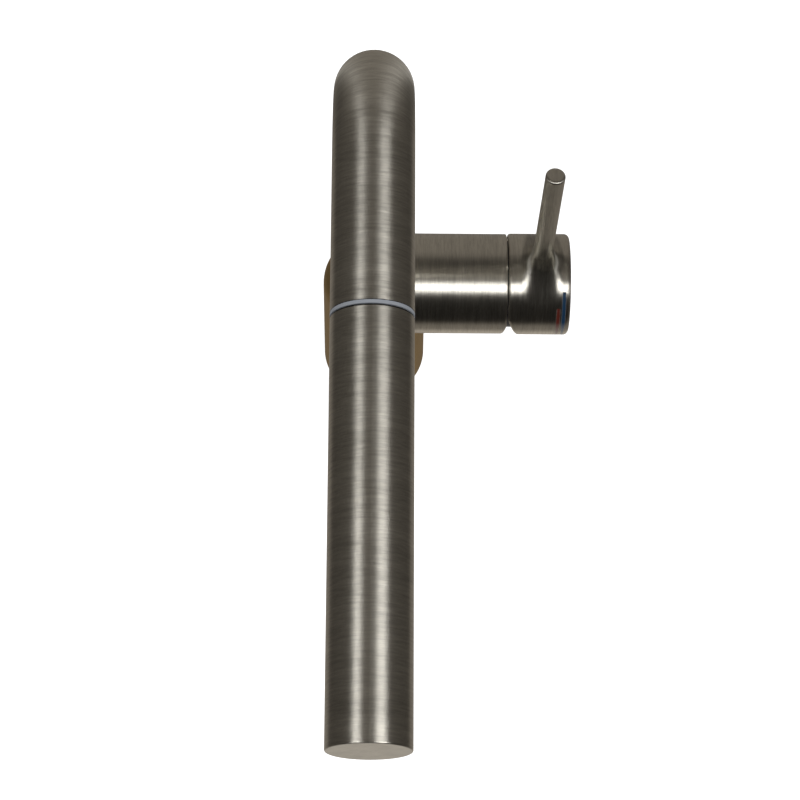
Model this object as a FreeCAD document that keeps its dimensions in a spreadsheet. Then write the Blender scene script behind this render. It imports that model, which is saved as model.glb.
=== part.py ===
import FreeCAD, Part
import math
import os

import Sketcher
from FreeCAD import Placement, Rotation, Vector

# Single-hole kitchen tap: a turned valve body on the deck, a handle barrel to the right (+X) and a
# tall swivelling spout that bends forward (-Y) and carries a pull-out spray head.
# Frame: origin on the deck plane at the centre of the base, +Z up, spout forward along -Y.
# "Along" is a distance on a turned piece's own axis, counted from the column axis or from the deck.

SIZES = {
    # base, shank and deck clamp
    "base_diameter": 44.0,
    "dome_diameter": 42.2,
    "handle_height": 82.0,
    "gasket_bore": 36.0,
    "gasket_width": 2.5,
    "gasket_depth": 1.5,
    "shank_diameter": 32.0,
    "shank_bore": 28.0,
    "shank_drop": 55.0,
    "shank_grip": 12.0,
    "deck_thickness": 10.0,
    "clamp_width": 35.4,
    "rubber_washer_length": 60.0,
    "rubber_washer_thickness": 3.0,
    "steel_washer_length": 58.0,
    "steel_washer_thickness": 1.5,
    "nut_length": 54.0,
    "nut_thickness": 10.0,
    "jack_screw_diameter": 4.0,
    "jack_screw_spacing": 43.0,
    "jack_screw_tail": 8.0,
    # waterways in the valve body
    "inlet_diameter": 8.0,
    "inlet_depth": 10.0,
    "passage_diameter": 5.0,
    "supply_forward": 6.0,
    "supply_spread": 15.0,
    "supply_port_drop": 6.5,
    "mixed_forward": 10.0,
    "mixed_port_drop": 10.5,
    "hose_way_diameter": 13.0,
    "hose_way_offset": 6.0,
    # handle barrel and cartridge
    "barrel_diameter": 41.6,
    "barrel_length": 54.9,
    "barrel_edge": 0.7,
    "barrel_slope_angle": 9.0,
    "core_diameter": 36.0,
    "core_inset": 6.9,
    "cartridge_depth": 28.0,
    "cartridge_diameter": 28.0,
    "cartridge_nose_diameter": 24.8,
    "cartridge_nose_length": 6.0,
    "cartridge_floor": 2.0,
    "cartridge_cavity": 23.2,
    "seat_gasket_thickness": 1.0,
    "disc_diameter": 22.4,
    "disc_thickness": 3.0,
    "chamber_depth": 1.5,
    "nut_thread_diameter": 30.0,
    "cartridge_nut_length": 8.0,
    "trim_ring_diameter": 35.8,
    "trim_ring_length": 12.0,
    "trim_ring_wall": 2.7,
    "trim_ring_flange": 2.0,
    "rotor_flange_length": 9.0,
    "rotor_diameter": 19.0,
    "rotor_reach": 3.0,
    "rotor_slot_length": 17.0,
    "rotor_slot_height": 15.4,
    # lever
    "pivot_overhang": 2.1,
    "pivot_pin_diameter": 3.0,
    "stem_diameter": 7.0,
    "stem_tail": 11.0,
    "cap_step": 0.2,
    "cap_length": 25.5,
    "cap_wall": 2.0,
    "cap_end": 4.0,
    "cap_edge": 2.0,
    "cap_rim_edge": 1.2,
    "cap_slope_angle": 15.3,
    "slope_start": 2.7,
    "boss_diameter": 16.0,
    "boss_length": 10.7,
    "lever_diameter": 8.0,
    "lever_length": 76.1,
    "lever_inset": 12.8,
    "lever_lean_out_angle": 2.3,
    "lever_lean_back_angle": 13.0,
    "lever_root": 6.0,
    "lever_tip_edge": 1.0,
    "set_screw_diameter": 5.0,
    "set_screw_length": 9.0,
    "set_screw_key": 2.5,
    "set_screw_key_depth": 4.5,
    "set_screw_inset": 15.6,
    "plug_thickness": 1.4,
    "mark_width": 1.6,
    "mark_depth": 0.35,
    "cold_mark_inset": 2.8,
    "hot_mark_inset": 5.0,
    "mark_start_angle": 43.0,
    "mark_sweep_angle": 254.0,
    # column and spout
    "tube_diameter": 28.0,
    "tube_wall": 1.5,
    "mouth_edge": 0.3,
    "spout_height": 298.0,
    "bend_radius": 38.5,
    "spout_reach": 240.0,
    "socket_drop": 2.0,
    "glide_thickness": 1.0,
    "glide_bore": 20.0,
    "insert_collar": 12.0,
    "insert_spigot": 14.0,
    "insert_bore": 19.0,
    "insert_groove_depth": 1.6,
    "o_ring_thickness": 1.5,
    "o_ring_rise": 2.6,
    "lock_screw_diameter": 4.0,
    "lock_screw_rise": 7.2,
    "lock_screw_reach": 12.8,
    "lock_screw_key": 1.8,
    "lock_screw_key_depth": 2.0,
    "swivel_limit_angle": 75.0,
    # docking ring and spray head
    "ring_offset": 95.0,
    "ring_thickness": 1.2,
    "dock_bore": 21.2,
    "dock_depth": 14.0,
    "head_diameter": 27.9,
    "head_wall": 1.2,
    "plug_reach": 11.0,
    "plug_flange": 7.0,
    "connector_diameter": 15.0,
    "connector_bore": 8.0,
    "connector_tail": 5.0,
    "connector_length": 28.0,
    "spigot_length": 6.0,
    "check_valve_length": 12.0,
    "check_valve_bore": 3.0,
    "waterway_diameter": 14.0,
    "waterway_bore": 11.0,
    "elbow_length": 34.0,
    "elbow_socket": 6.0,
    "end_cap_thickness": 2.0,
    "end_cap_spigot": 4.0,
    "end_cap_edge": 0.5,
    "outlet_setback": 20.0,
    "nozzle_diameter": 22.0,
    "nozzle_wall": 1.4,
    "nozzle_depth": 9.0,
    "nozzle_drop": 3.0,
    "nozzle_edge": 0.5,
    "aerator_seal_thickness": 2.0,
    "aerator_seal_bore": 12.0,
    "aerator_recess": 0.8,
    "screen_thickness": 0.8,
    "screen_hole": 1.0,
    "screen_pitch": 2.4,
    # clearances
    "thread_gap": 0.05,
    "seat_gap": 0.05,
    "running_gap": 0.08,
    "cartridge_gap": 0.1,
    "screw_gap": 0.05,
    "mark_gap": 0.04,
    "moving_gap": 0.3,
    "rim_gap": 0.5,
    "stop_gap": 0.4,
}
SCREEN_RINGS = 3
HEX_SIDES = 6

doc = FreeCAD.newDocument("KitchenTap")


class Length:
    """A size with its number and the sheet expression that gives it."""

    def __init__(self, value, text):
        self.value = float(value)
        self.text = text

    def __add__(self, other):
        other = length(other)
        return Length(self.value + other.value, f"({self.text} + {other.text})")

    def __sub__(self, other):
        other = length(other)
        return Length(self.value - other.value, f"({self.text} - {other.text})")

    def __rsub__(self, other):
        return length(other) - self

    def __mul__(self, other):
        other = length(other)
        return Length(self.value * other.value, f"({self.text} * {other.text})")

    def __truediv__(self, other):
        other = length(other)
        return Length(self.value / other.value, f"({self.text} / {other.text})")

    def __neg__(self):
        return Length(-self.value, f"(-1 * {self.text})")

    def root(self):
        """Square root, for the height where a sphere has a given radius."""
        return Length(math.sqrt(self.value), f"sqrt({self.text})")

    __radd__ = __add__
    __rmul__ = __mul__


def length(value):
    """Give a bare number the same form as a named size."""
    if isinstance(value, Length):
        return value
    return Length(value, f"{value}")


class Sheet:
    """The spreadsheet of driving sizes; each one is read back as an attribute."""

    def __init__(self):
        self.page = doc.addObject("Spreadsheet::Sheet", "Sizes")
        for row, (alias, value) in enumerate(SIZES.items(), start=1):
            self.page.set(f"A{row}", alias.replace("_", " "))
            self.page.set(f"B{row}", f"{value}")
            self.page.setAlias(f"B{row}", alias)
        doc.recompute()

    def __getattr__(self, alias):
        return Length(getattr(self.page, alias), f"Sizes.{alias}")


S = Sheet()
NODES = []


# Drawing helpers

def bind(item, prop, size):
    """Tie one property of an object to a size."""
    item.setExpression(prop, length(size).text)


def place(item, x=0, y=0, z=0):
    """Tie the three coordinates of an object's place to sizes."""
    for axis, size in zip("xyz", (x, y, z)):
        bind(item, f"Placement.Base.{axis}", size)


def keep(item, label):
    """Name a finished sub-part and list it for writing."""
    item.Label = label
    NODES.append(item)
    return item


def origin_plane(body, role):
    """Find one of a body's own origin planes."""
    return next(item for item in body.Origin.OriginFeatures if item.Role == role)


def new_body(name):
    return doc.addObject("PartDesign::Body", name)


def new_sketch(body, name, role):
    sketch = body.newObject("Sketcher::SketchObject", name)
    sketch.AttachmentSupport = [(origin_plane(body, role), "")]
    sketch.MapMode = "FlatFace"
    return sketch


def fix_size(sketch, kind, parts, size):
    """Add one dimension and tie it to its size."""
    index = sketch.addConstraint(Sketcher.Constraint(kind, *parts, size.value))
    sketch.setExpression(f"Constraints[{index}]", size.text)


def arc_between(first, last, radius):
    """Arc from first to last; a positive radius bends left, a negative one right."""
    chord = last - first
    rise = math.sqrt(max(radius ** 2 - (chord.Length / 2) ** 2, 0.0))
    side = Vector(-chord.y, chord.x, 0).normalize() * math.copysign(1.0, radius)
    centre = (first + last) * 0.5 + side * rise
    middle = centre - side * abs(radius)
    return Part.Arc(first, middle, last)


def draw_path(sketch, corners, closed=True):
    """Lines and arcs through the corners, each held by its two coordinates.

    A corner is (u, v), or (u, v, radius) where an arc of that radius arrives at it.
    """
    corners = [tuple(length(part) for part in corner) for corner in corners]
    points = [Vector(corner[0].value, corner[1].value, 0) for corner in corners]
    steps = list(range(1, len(corners))) + ([0] if closed else [])
    edges = []
    for step in steps:
        before = points[step - 1]
        after = points[step]
        if len(corners[step]) == 3:
            curve = arc_between(before, after, corners[step][2].value)
            edge = sketch.addGeometry(curve, False)
            turns_left = corners[step][2].value > 0
            ends = (1, 2) if turns_left else (2, 1)
            fix_size(sketch, "Radius", (edge,), corners[step][2] * (1 if turns_left else -1))
        else:
            edge = sketch.addGeometry(Part.LineSegment(before, after), False)
            ends = (1, 2)
        edges.append((edge, ends))
        fix_size(sketch, "DistanceX", (-1, 1, edge, ends[1]), corners[step][0])
        fix_size(sketch, "DistanceY", (-1, 1, edge, ends[1]), corners[step][1])
    for (edge, ends), (after, after_ends) in zip(edges, edges[1:] + edges[:1]):
        if closed or (edge, ends) != edges[-1]:
            sketch.addConstraint(Sketcher.Constraint("Coincident", edge, ends[1], after, after_ends[0]))
    if not closed:
        edge, ends = edges[0]
        fix_size(sketch, "DistanceX", (-1, 1, edge, ends[0]), corners[0][0])
        fix_size(sketch, "DistanceY", (-1, 1, edge, ends[0]), corners[0][1])


def draw_circle(sketch, radius, u=0, v=0):
    """Circle with a tied radius and centre."""
    centre = [length(u), length(v)]
    point = Vector(centre[0].value, centre[1].value, 0)
    edge = sketch.addGeometry(Part.Circle(point, Vector(0, 0, 1), radius.value), False)
    fix_size(sketch, "Radius", (edge,), radius)
    fix_size(sketch, "DistanceX", (-1, 1, edge, 3), centre[0])
    fix_size(sketch, "DistanceY", (-1, 1, edge, 3), centre[1])


def profile(body, name, axis, outline):
    """Half section of a turned piece, with corners as (along, radius[, arc])."""
    role = "YZ_Plane" if axis == "Y" else "XZ_Plane"
    sketch = new_sketch(body, name, role)
    if axis == "Z":
        outline = [(corner[1], corner[0], *corner[2:]) for corner in outline]
    draw_path(sketch, outline)
    return sketch


def spin(body, kind, name, sketch, axis, angle=360):
    """Revolution or groove of a half section about its axis."""
    feature = body.newObject(f"PartDesign::{kind}", name)
    feature.Profile = sketch
    feature.ReferenceAxis = (sketch, ["V_Axis" if axis == "Z" else "H_Axis"])
    bind(feature, "Angle", angle)
    return feature


def turned(name, axis, outline, height=0, along_x=0, along_y=0):
    """Body of revolution about X, Y or Z, lifted to its height."""
    body = new_body(name)
    sketch = profile(body, f"{name}_profile", axis, outline)
    spin(body, "Revolution", f"{name}_turning", sketch, axis)
    place(body, along_x, along_y, height)
    return body


def ring(name, axis, start, end, outer, inner, height=0, along_x=0, along_y=0):
    """Plain turned ring between two places on its axis."""
    outline = [(start, inner), (start, outer), (end, outer), (end, inner)]
    return turned(name, axis, outline, height, along_x, along_y)


def bar(name, radius, reach, direction, x=0, y=0, z=0):
    """Round bar from a point along a direction."""
    item = doc.addObject("Part::Cylinder", name)
    item.Placement = Placement(Vector(0, 0, 0), Rotation(Vector(0, 0, 1), Vector(*direction)))
    bind(item, "Radius", radius)
    bind(item, "Height", reach)
    place(item, x, y, z)
    return item


def block(name, span_x, span_y, span_z, x=0, y=0, z=0):
    """Box from its low corner."""
    item = doc.addObject("Part::Box", name)
    bind(item, "Length", span_x)
    bind(item, "Width", span_y)
    bind(item, "Height", span_z)
    place(item, x, y, z)
    return item


def hex_cutter(name, across_flats, reach, direction):
    """Six-sided bar that cuts a key socket."""
    item = doc.addObject("Part::Prism", name)
    item.Polygon = HEX_SIDES
    item.Placement = Placement(Vector(0, 0, 0), Rotation(Vector(0, 0, 1), Vector(*direction)))
    bind(item, "Circumradius", across_flats / math.sqrt(3))
    bind(item, "Height", reach)
    return item


def join(name, items):
    item = doc.addObject("Part::MultiFuse", name)
    item.Shapes = items
    return item


def cut(name, base, tools):
    """Take one or more tools away from a base."""
    item = doc.addObject("Part::Cut", name)
    item.Base = base
    item.Tool = tools[0] if len(tools) == 1 else join(f"{name}_tools", tools)
    return item


def edge_names(shape, test):
    """Names of the edges on which every sampled point passes a test."""
    names = []
    for index, edge in enumerate(shape.Edges, start=1):
        if all(test(point) for point in edge.discretize(7)):
            names.append(f"Edge{index}")
    return names


def round_edges(name, base, radius, test):
    """Round the edges of a finished form that pass a test."""
    doc.recompute()
    item = doc.addObject("Part::Fillet", name)
    item.Base = base
    numbers = [int(edge.removeprefix("Edge")) for edge in edge_names(base.Shape, test)]
    item.Edges = [(number, radius.value, radius.value) for number in numbers]
    return item


# Sizes that several pieces share

OVER = 1.0
BASE_R = S.base_diameter / 2
DOME_R = S.dome_diameter / 2
TUBE_R = S.tube_diameter / 2
TUBE_BORE_R = TUBE_R - S.tube_wall
SHANK_R = S.shank_diameter / 2
CORE_R = S.core_diameter / 2
CAP_R = S.barrel_diameter / 2 + S.cap_step
HEAD_R = S.head_diameter / 2
HEAD_BORE_R = HEAD_R - S.head_wall
CARTRIDGE_R = S.cartridge_diameter / 2
STEM_R = S.stem_diameter / 2
LOCK_SCREW_R = S.lock_screw_diameter / 2
SOCKET_R = TUBE_R + S.running_gap
SOCKET_FLOOR = S.handle_height - S.socket_drop
INSERT_FOOT = SOCKET_FLOOR + S.glide_thickness
TUBE_FOOT = INSERT_FOOT + S.insert_collar
LOCK_HEIGHT = INSERT_FOOT + S.lock_screw_rise
CORE_LENGTH = S.barrel_length - S.core_inset
SEAT = CORE_LENGTH - S.cartridge_depth
CARTRIDGE_START = SEAT + S.seat_gasket_thickness
DISC_START = CARTRIDGE_START + S.cartridge_floor
DISC_SPLIT = DISC_START + S.disc_thickness
ROTOR_START = DISC_SPLIT + S.disc_thickness
ROTOR_SHOULDER = ROTOR_START + S.rotor_flange_length
NUT_START = CORE_LENGTH - S.cartridge_nut_length
PIVOT = S.barrel_length + S.pivot_overhang
ROTOR_END = PIVOT + S.rotor_reach
CAP_START = S.barrel_length + S.rim_gap
LEVER_ALONG = CAP_START + S.lever_inset
SET_SCREW_ALONG = CAP_START + S.set_screw_inset
CAP_STOP = CAP_START + S.cap_length
BOSS_STOP = CAP_STOP - S.cap_end
BOSS_START = BOSS_STOP - S.boss_length
RING_FRONT = -(S.ring_offset + S.ring_thickness)
HEAD_REAR = RING_FRONT - S.moving_gap
HEAD_FRONT = -S.spout_reach
CAP_SEAM = HEAD_FRONT + S.end_cap_thickness
ELBOW_FRONT = CAP_SEAM + S.end_cap_spigot
ELBOW_REAR = ELBOW_FRONT + S.elbow_length
CONNECTOR_REAR = HEAD_REAR + S.plug_reach + S.connector_tail
CONNECTOR_SHOULDER = CONNECTOR_REAR - S.connector_length
PLUG_R = S.dock_bore / 2 - S.running_gap
OUTLET_Y = HEAD_FRONT + S.outlet_setback
NOZZLE_R = S.nozzle_diameter / 2
NOZZLE_FOOT = S.spout_height - HEAD_R - S.nozzle_drop
NOZZLE_TOP = NOZZLE_FOOT + S.nozzle_depth
AERATOR_R = NOZZLE_R - S.nozzle_wall - S.seat_gap
LEAN_BACK = S.lever_lean_back_angle.value
NEAR = 0.02


# Valve body, base and deck clamp

def gasket_outline(gap):
    inner = S.gasket_bore / 2 - gap
    outer = S.gasket_bore / 2 + S.gasket_width + gap
    return [(0, inner), (0, outer), (S.gasket_depth + gap, outer), (S.gasket_depth + gap, inner)]


def valve_envelope(name):
    """Outer form of the upright body: a slightly tapered post under a round dome."""
    outline = [
        (0, 0),
        (0, BASE_R),
        (S.handle_height, DOME_R),
        (S.handle_height + DOME_R, 0, DOME_R),
    ]
    return turned(name, "Z", outline)


def spout_socket(name):
    """Round socket that the column stands in, open through the top of the body and barrel."""
    return bar(name, SOCKET_R, S.handle_height + DOME_R, (0, 0, 1), z=SOCKET_FLOOR)


def waterway_tools():
    """Inlets from below, their risers, and the ports that meet the cartridge seat."""
    tools = []
    supply_height = S.handle_height - S.supply_port_drop
    mixed_height = S.handle_height - S.mixed_port_drop
    lines = {
        "hot": (S.supply_forward, S.supply_spread / 2, supply_height),
        "cold": (S.supply_forward, -S.supply_spread / 2, supply_height),
        "mixed": (S.mixed_forward, 0, mixed_height),
    }
    passage_r = S.passage_diameter / 2
    for name, (x, y, top) in lines.items():
        foot = S.shank_grip - S.thread_gap
        inlet = bar(f"{name}_inlet", S.inlet_diameter / 2, S.inlet_depth, (0, 0, 1), x, y, foot)
        riser = bar(f"{name}_riser", passage_r, top - foot, (0, 0, 1), x, y, foot)
        port = bar(f"{name}_port", passage_r, SEAT - x + OVER, (1, 0, 0), x, y, top)
        tools += [inlet, riser, port]
    hose_way = bar("hose_way", S.hose_way_diameter / 2, SOCKET_FLOOR, (0, 0, 1), -S.hose_way_offset)
    return tools + [hose_way]


def valve_body():
    post = valve_envelope("valve_post")
    core = bar("valve_core", CORE_R, CORE_LENGTH, (1, 0, 0), z=S.handle_height)
    blank = join("valve_blank", [post, core])
    bore_r = CARTRIDGE_R + S.cartridge_gap
    bore_reach = CORE_LENGTH - SEAT + OVER
    thread_r = S.nut_thread_diameter / 2 + S.thread_gap
    tools = waterway_tools() + [
        turned("gasket_groove", "Z", gasket_outline(0)),
        bar("shank_socket", SHANK_R + S.thread_gap, S.shank_grip + OVER, (0, 0, 1), z=-OVER),
        spout_socket("body_socket"),
        bar("cartridge_bore", bore_r, bore_reach, (1, 0, 0), SEAT, 0, S.handle_height),
        bar("nut_thread", thread_r, S.cartridge_nut_length + OVER, (1, 0, 0), NUT_START, 0, S.handle_height),
        bar("lock_hole", LOCK_SCREW_R + S.screw_gap, DOME_R, (0, 1, 0), z=LOCK_HEIGHT),
    ]
    keep(cut("valve_body", blank, tools), "valve_body")


def base_gasket():
    keep(turned("base_gasket", "Z", gasket_outline(-S.seat_gap)), "base_gasket")


def mounting_shank():
    shank = ring("mounting_shank", "Z", -S.shank_drop, S.shank_grip - S.thread_gap, SHANK_R, S.shank_bore / 2)
    keep(shank, "mounting_shank")


def flat_sided(name, foot, top, reach, bore):
    """Round plate for the shank with two flat sides, longer from front to back than across."""
    disc = ring(f"{name}_disc", "Z", foot, top, reach / 2, bore)
    limit = block(f"{name}_limit", S.clamp_width, reach + OVER * 2, top - foot + OVER * 2,
                  -(S.clamp_width / 2), -(reach / 2 + OVER), foot - OVER)
    plate = doc.addObject("Part::Common", f"{name}_plate")
    plate.Base = disc
    plate.Tool = limit
    return plate


def deck_washers():
    bore = SHANK_R + S.moving_gap
    seat = -S.deck_thickness
    middle = seat - S.rubber_washer_thickness
    foot = middle - S.steel_washer_thickness
    keep(flat_sided("rubber", middle, seat, S.rubber_washer_length, bore), "rubber_washer")
    keep(flat_sided("steel", foot, middle, S.steel_washer_length, bore), "steel_washer")
    return foot


def lock_nut(top):
    """Flat-sided nut on the shank with two jack screws that press the steel washer."""
    foot = top - S.nut_thickness
    plate = flat_sided("nut", foot, top, S.nut_length, SHANK_R + S.thread_gap)
    reach = S.nut_thickness + OVER * 2
    screw_r = S.jack_screw_diameter / 2
    screw_foot = foot - S.jack_screw_tail
    tools = []
    for number, side in enumerate((1, -1), start=1):
        y = S.jack_screw_spacing / 2 * side
        tools.append(bar(f"jack_hole_{number}", screw_r + S.screw_gap, reach, (0, 0, 1), 0, y, foot - OVER))
        screw = bar(f"jack_screw_{number}", screw_r, top - screw_foot, (0, 0, 1), 0, y, screw_foot)
        keep(screw, f"jack_screw_{number}")
    keep(cut("lock_nut", plate, tools), "lock_nut")


# Handle barrel and cartridge

def slope_block(name, along, angle, span):
    """Slanted cutter whose edge lies across the barrel at the start of the rim's slope."""
    deep = (CAP_R + DOME_R) * 2
    low = doc.addObject("Part::Box", name)
    bind(low, "Length", deep)
    bind(low, "Width", deep)
    bind(low, "Height", deep)
    pivot = Vector(along.value, 0, S.slope_start.value)
    lean = Rotation(Vector(0, 1, 0), angle.value)
    corner = Vector(0 if span > 0 else -deep.value, -deep.value / 2, -deep.value)
    low.Placement = Placement(pivot + lean.multVec(corner), lean)
    return low


def barrel_sleeve():
    """Outer sleeve of the handle barrel, saddled on the body and sloped under its outer end."""
    sleeve = ring("sleeve_blank", "X", 0, S.barrel_length, S.barrel_diameter / 2, CORE_R + S.seat_gap)
    slope = slope_block("sleeve_slope", S.barrel_length, S.barrel_slope_angle, 1)
    sloped = cut("sleeve_sloped", sleeve, [slope])

    def on_rim(point):
        off_axis = math.hypot(point.y, point.z)
        return point.x > DOME_R.value and abs(off_axis - S.barrel_diameter.value / 2) < NEAR

    rounded = round_edges("sleeve_rounded", sloped, S.barrel_edge, on_rim)
    place(rounded, z=S.handle_height)
    saddle = [valve_envelope("sleeve_saddle"), spout_socket("sleeve_socket")]
    keep(cut("barrel_sleeve", rounded, saddle), "barrel_sleeve")


def port_pins(prefix, start, reach):
    """Three cutters in line with the valve body's ports."""
    radius = S.passage_diameter / 2
    supply = S.handle_height - S.supply_port_drop
    mixed = S.handle_height - S.mixed_port_drop
    side = S.supply_spread / 2
    return [
        bar(f"{prefix}_hot", radius, reach, (1, 0, 0), start, side, supply),
        bar(f"{prefix}_cold", radius, reach, (1, 0, 0), start, -side, supply),
        bar(f"{prefix}_mixed", radius, reach, (1, 0, 0), start, 0, mixed),
    ]


def seat_gasket():
    blank = bar("seat_gasket_blank", CARTRIDGE_R - S.cartridge_gap, S.seat_gasket_thickness, (1, 0, 0),
                SEAT, 0, S.handle_height)
    pins = port_pins("gasket", SEAT - OVER, S.seat_gasket_thickness + OVER * 2)
    keep(cut("seat_gasket", blank, pins), "seat_gasket")


def cartridge_body():
    cavity_r = S.cartridge_cavity / 2
    neck_r = S.rotor_diameter / 2 + S.running_gap
    nose_r = S.cartridge_nose_diameter / 2
    nose_end = CORE_LENGTH + S.cartridge_nose_length
    shoulder = ROTOR_SHOULDER + S.moving_gap
    outline = [
        (CARTRIDGE_START, 0),
        (CARTRIDGE_START, CARTRIDGE_R),
        (NUT_START, CARTRIDGE_R),
        (NUT_START, nose_r),
        (nose_end, nose_r),
        (nose_end, neck_r),
        (shoulder, neck_r),
        (shoulder, cavity_r),
        (DISC_START, cavity_r),
        (DISC_START, 0),
    ]
    blank = turned("cartridge_blank", "X", outline, S.handle_height)
    pins = port_pins("cartridge", CARTRIDGE_START - OVER, S.cartridge_floor + OVER * 2)
    keep(cut("cartridge_body", blank, pins), "cartridge_body")


def fixed_disc():
    blank = bar("fixed_disc_blank", S.disc_diameter / 2, S.disc_thickness, (1, 0, 0),
                DISC_START, 0, S.handle_height)
    pins = port_pins("disc", DISC_START - OVER, S.disc_thickness + OVER * 2)
    keep(cut("fixed_disc", blank, pins), "fixed_disc")


def cartridge_nut():
    bore = S.cartridge_nose_diameter / 2 + S.thread_gap
    nut = ring("cartridge_nut", "X", NUT_START, CORE_LENGTH, S.nut_thread_diameter / 2, bore, S.handle_height)
    keep(nut, "cartridge_nut")


def trim_ring():
    """Inner ring that shows in the rim's slope and covers the cartridge nut."""
    outer = S.trim_ring_diameter / 2
    inner = outer - S.trim_ring_wall
    lip = S.cartridge_nose_diameter / 2 + S.cartridge_gap
    start = CORE_LENGTH
    outline = [
        (start, lip),
        (start, outer),
        (start + S.trim_ring_length, outer),
        (start + S.trim_ring_length, inner),
        (start + S.trim_ring_flange, inner),
        (start + S.trim_ring_flange, lip),
    ]
    keep(turned("trim_ring", "X", outline, S.handle_height), "trim_ring")


# Pieces that turn with the handle: they are made upright and leaned back together

def lean_back(item, along=0):
    """Turn an upright handle piece to the stored position of the lever."""
    item.Placement = Placement(Vector(0, 0, 0), Rotation(Vector(1, 0, 0), -LEAN_BACK))
    place(item, along, 0, S.handle_height)
    return item


def moving_disc():
    """Upper ceramic disc, with the mixing chamber open to the disc below."""
    disc = bar("moving_disc_blank", S.disc_diameter / 2 - S.moving_gap, S.disc_thickness, (1, 0, 0), DISC_SPLIT)
    chamber = bar("mixing_chamber", S.supply_spread / 2, S.chamber_depth + OVER, (1, 0, 0),
                  DISC_SPLIT - OVER)
    keep(lean_back(cut("moving_disc", disc, [chamber])), "moving_disc")


def rotor():
    """Cartridge spindle housing: turns for temperature and is slotted for the stem."""
    flange_r = S.disc_diameter / 2 - S.moving_gap
    neck_r = S.rotor_diameter / 2
    outline = [
        (ROTOR_START, 0),
        (ROTOR_START, flange_r),
        (ROTOR_SHOULDER, flange_r),
        (ROTOR_SHOULDER, neck_r),
        (ROTOR_END, neck_r),
        (ROTOR_END, 0),
    ]
    blank = turned("rotor_blank", "X", outline)
    slot_width = S.stem_diameter + S.moving_gap * 2
    slot = block("rotor_slot", S.rotor_slot_length + OVER, slot_width, S.rotor_slot_height,
                 ROTOR_END - S.rotor_slot_length, -(slot_width / 2), -(S.rotor_slot_height / 2))
    pin_r = S.pivot_pin_diameter / 2 + S.seat_gap
    pin_hole = bar("rotor_pin_hole", pin_r, S.rotor_diameter + OVER * 2, (0, 1, 0),
                   PIVOT, -(neck_r + OVER))
    keep(lean_back(cut("rotor", blank, [slot, pin_hole])), "rotor")


def pivot_pin():
    """Cross pin on which the stem tilts."""
    half = S.rotor_diameter / 2 - S.moving_gap
    radius = S.pivot_pin_diameter / 2
    pin = turned("pivot_pin", "Y", [(-half, 0), (-half, radius), (half, radius), (half, 0)])
    keep(lean_back(pin, PIVOT), "pivot_pin")


def stem():
    """Lever stem from its tail in the rotor to the boss of the cap."""
    start = PIVOT - S.stem_tail
    blank = bar("stem_blank", STEM_R, BOSS_STOP - S.seat_gap - start, (1, 0, 0), start)
    hole = bar("stem_pin_hole", S.pivot_pin_diameter / 2 + S.running_gap, S.stem_diameter + OVER * 2,
               (0, 1, 0), PIVOT, -(STEM_R + OVER))
    keep(lean_back(cut("stem", blank, [hole])), "stem")


def mark_outline(inset, gap):
    middle = CAP_STOP - inset
    half = S.mark_width / 2 + gap
    floor = CAP_R - S.mark_depth - gap
    return [(middle - half, floor), (middle - half, CAP_R + gap), (middle + half, CAP_R + gap),
            (middle + half, floor)]


def mark_sector(name, inset, gap, side):
    """Sector of a thin ring round the cap: it starts beside the lever and passes under the cap."""
    body = new_body(name)
    sketch = profile(body, f"{name}_profile", "X", mark_outline(inset, gap))
    sweep = spin(body, "Revolution", f"{name}_sweep", sketch, "X", S.mark_sweep_angle)
    sweep.Reversed = side < 0
    body.Placement = Placement(Vector(0, 0, 0), Rotation(Vector(1, 0, 0), side * S.mark_start_angle.value))
    return body


def cap_body():
    """Cap and lever in one piece, with the rod's root rounded into the cap."""
    body = new_body("cap_blank")
    outline = [
        (CAP_START, 0),
        (CAP_START, CAP_R),
        (CAP_STOP - S.cap_edge, CAP_R),
        (CAP_STOP, CAP_R - S.cap_edge, -S.cap_edge),
        (CAP_STOP, 0),
    ]
    spin(body, "Revolution", "cap_turning", profile(body, "cap_profile", "X", outline), "X")
    lean = Rotation(Vector(0, 1, 0), S.lever_lean_out_angle.value)
    foot = Vector(LEVER_ALONG.value, 0, 0)
    rod = new_sketch(body, "lever_section", "XY_Plane")
    rod.AttachmentOffset = Placement(foot, lean)
    draw_circle(rod, S.lever_diameter / 2)
    pad = body.newObject("PartDesign::Pad", "lever_rod")
    pad.Profile = rod
    bind(pad, "Length", S.lever_length)
    doc.recompute()

    direction = lean.multVec(Vector(0, 0, 1))
    lever_r = S.lever_diameter.value / 2

    def on_root(point):
        off_axis = (point - foot).cross(direction).Length
        off_cap = math.hypot(point.y, point.z)
        return abs(off_axis - lever_r) < NEAR and abs(off_cap - CAP_R.value) < NEAR

    def on_tip(point):
        return abs((point - foot).dot(direction) - S.lever_length.value) < NEAR

    root = body.newObject("PartDesign::Fillet", "lever_root")
    root.Base = (pad, edge_names(pad.Shape, on_root))
    bind(root, "Radius", S.lever_root)
    doc.recompute()
    tip = body.newObject("PartDesign::Fillet", "lever_tip")
    tip.Base = (root, edge_names(root.Shape, on_tip))
    bind(tip, "Radius", S.lever_tip_edge)
    doc.recompute()

    inner = CAP_R - S.cap_wall
    boss_r = S.boss_diameter / 2
    hollow = [
        (CAP_START - OVER, 0),
        (CAP_START - OVER, inner),
        (BOSS_STOP, inner),
        (BOSS_STOP, boss_r),
        (BOSS_START, boss_r),
        (BOSS_START, 0),
    ]
    before = tip.Shape.Volume
    cavity = spin(body, "Groove", "cap_cavity", profile(body, "cavity_profile", "X", hollow), "X")
    doc.recompute()
    if not cavity.Shape.Volume < before:
        raise RuntimeError("the cap's cavity cuts nothing")
    return body


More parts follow.
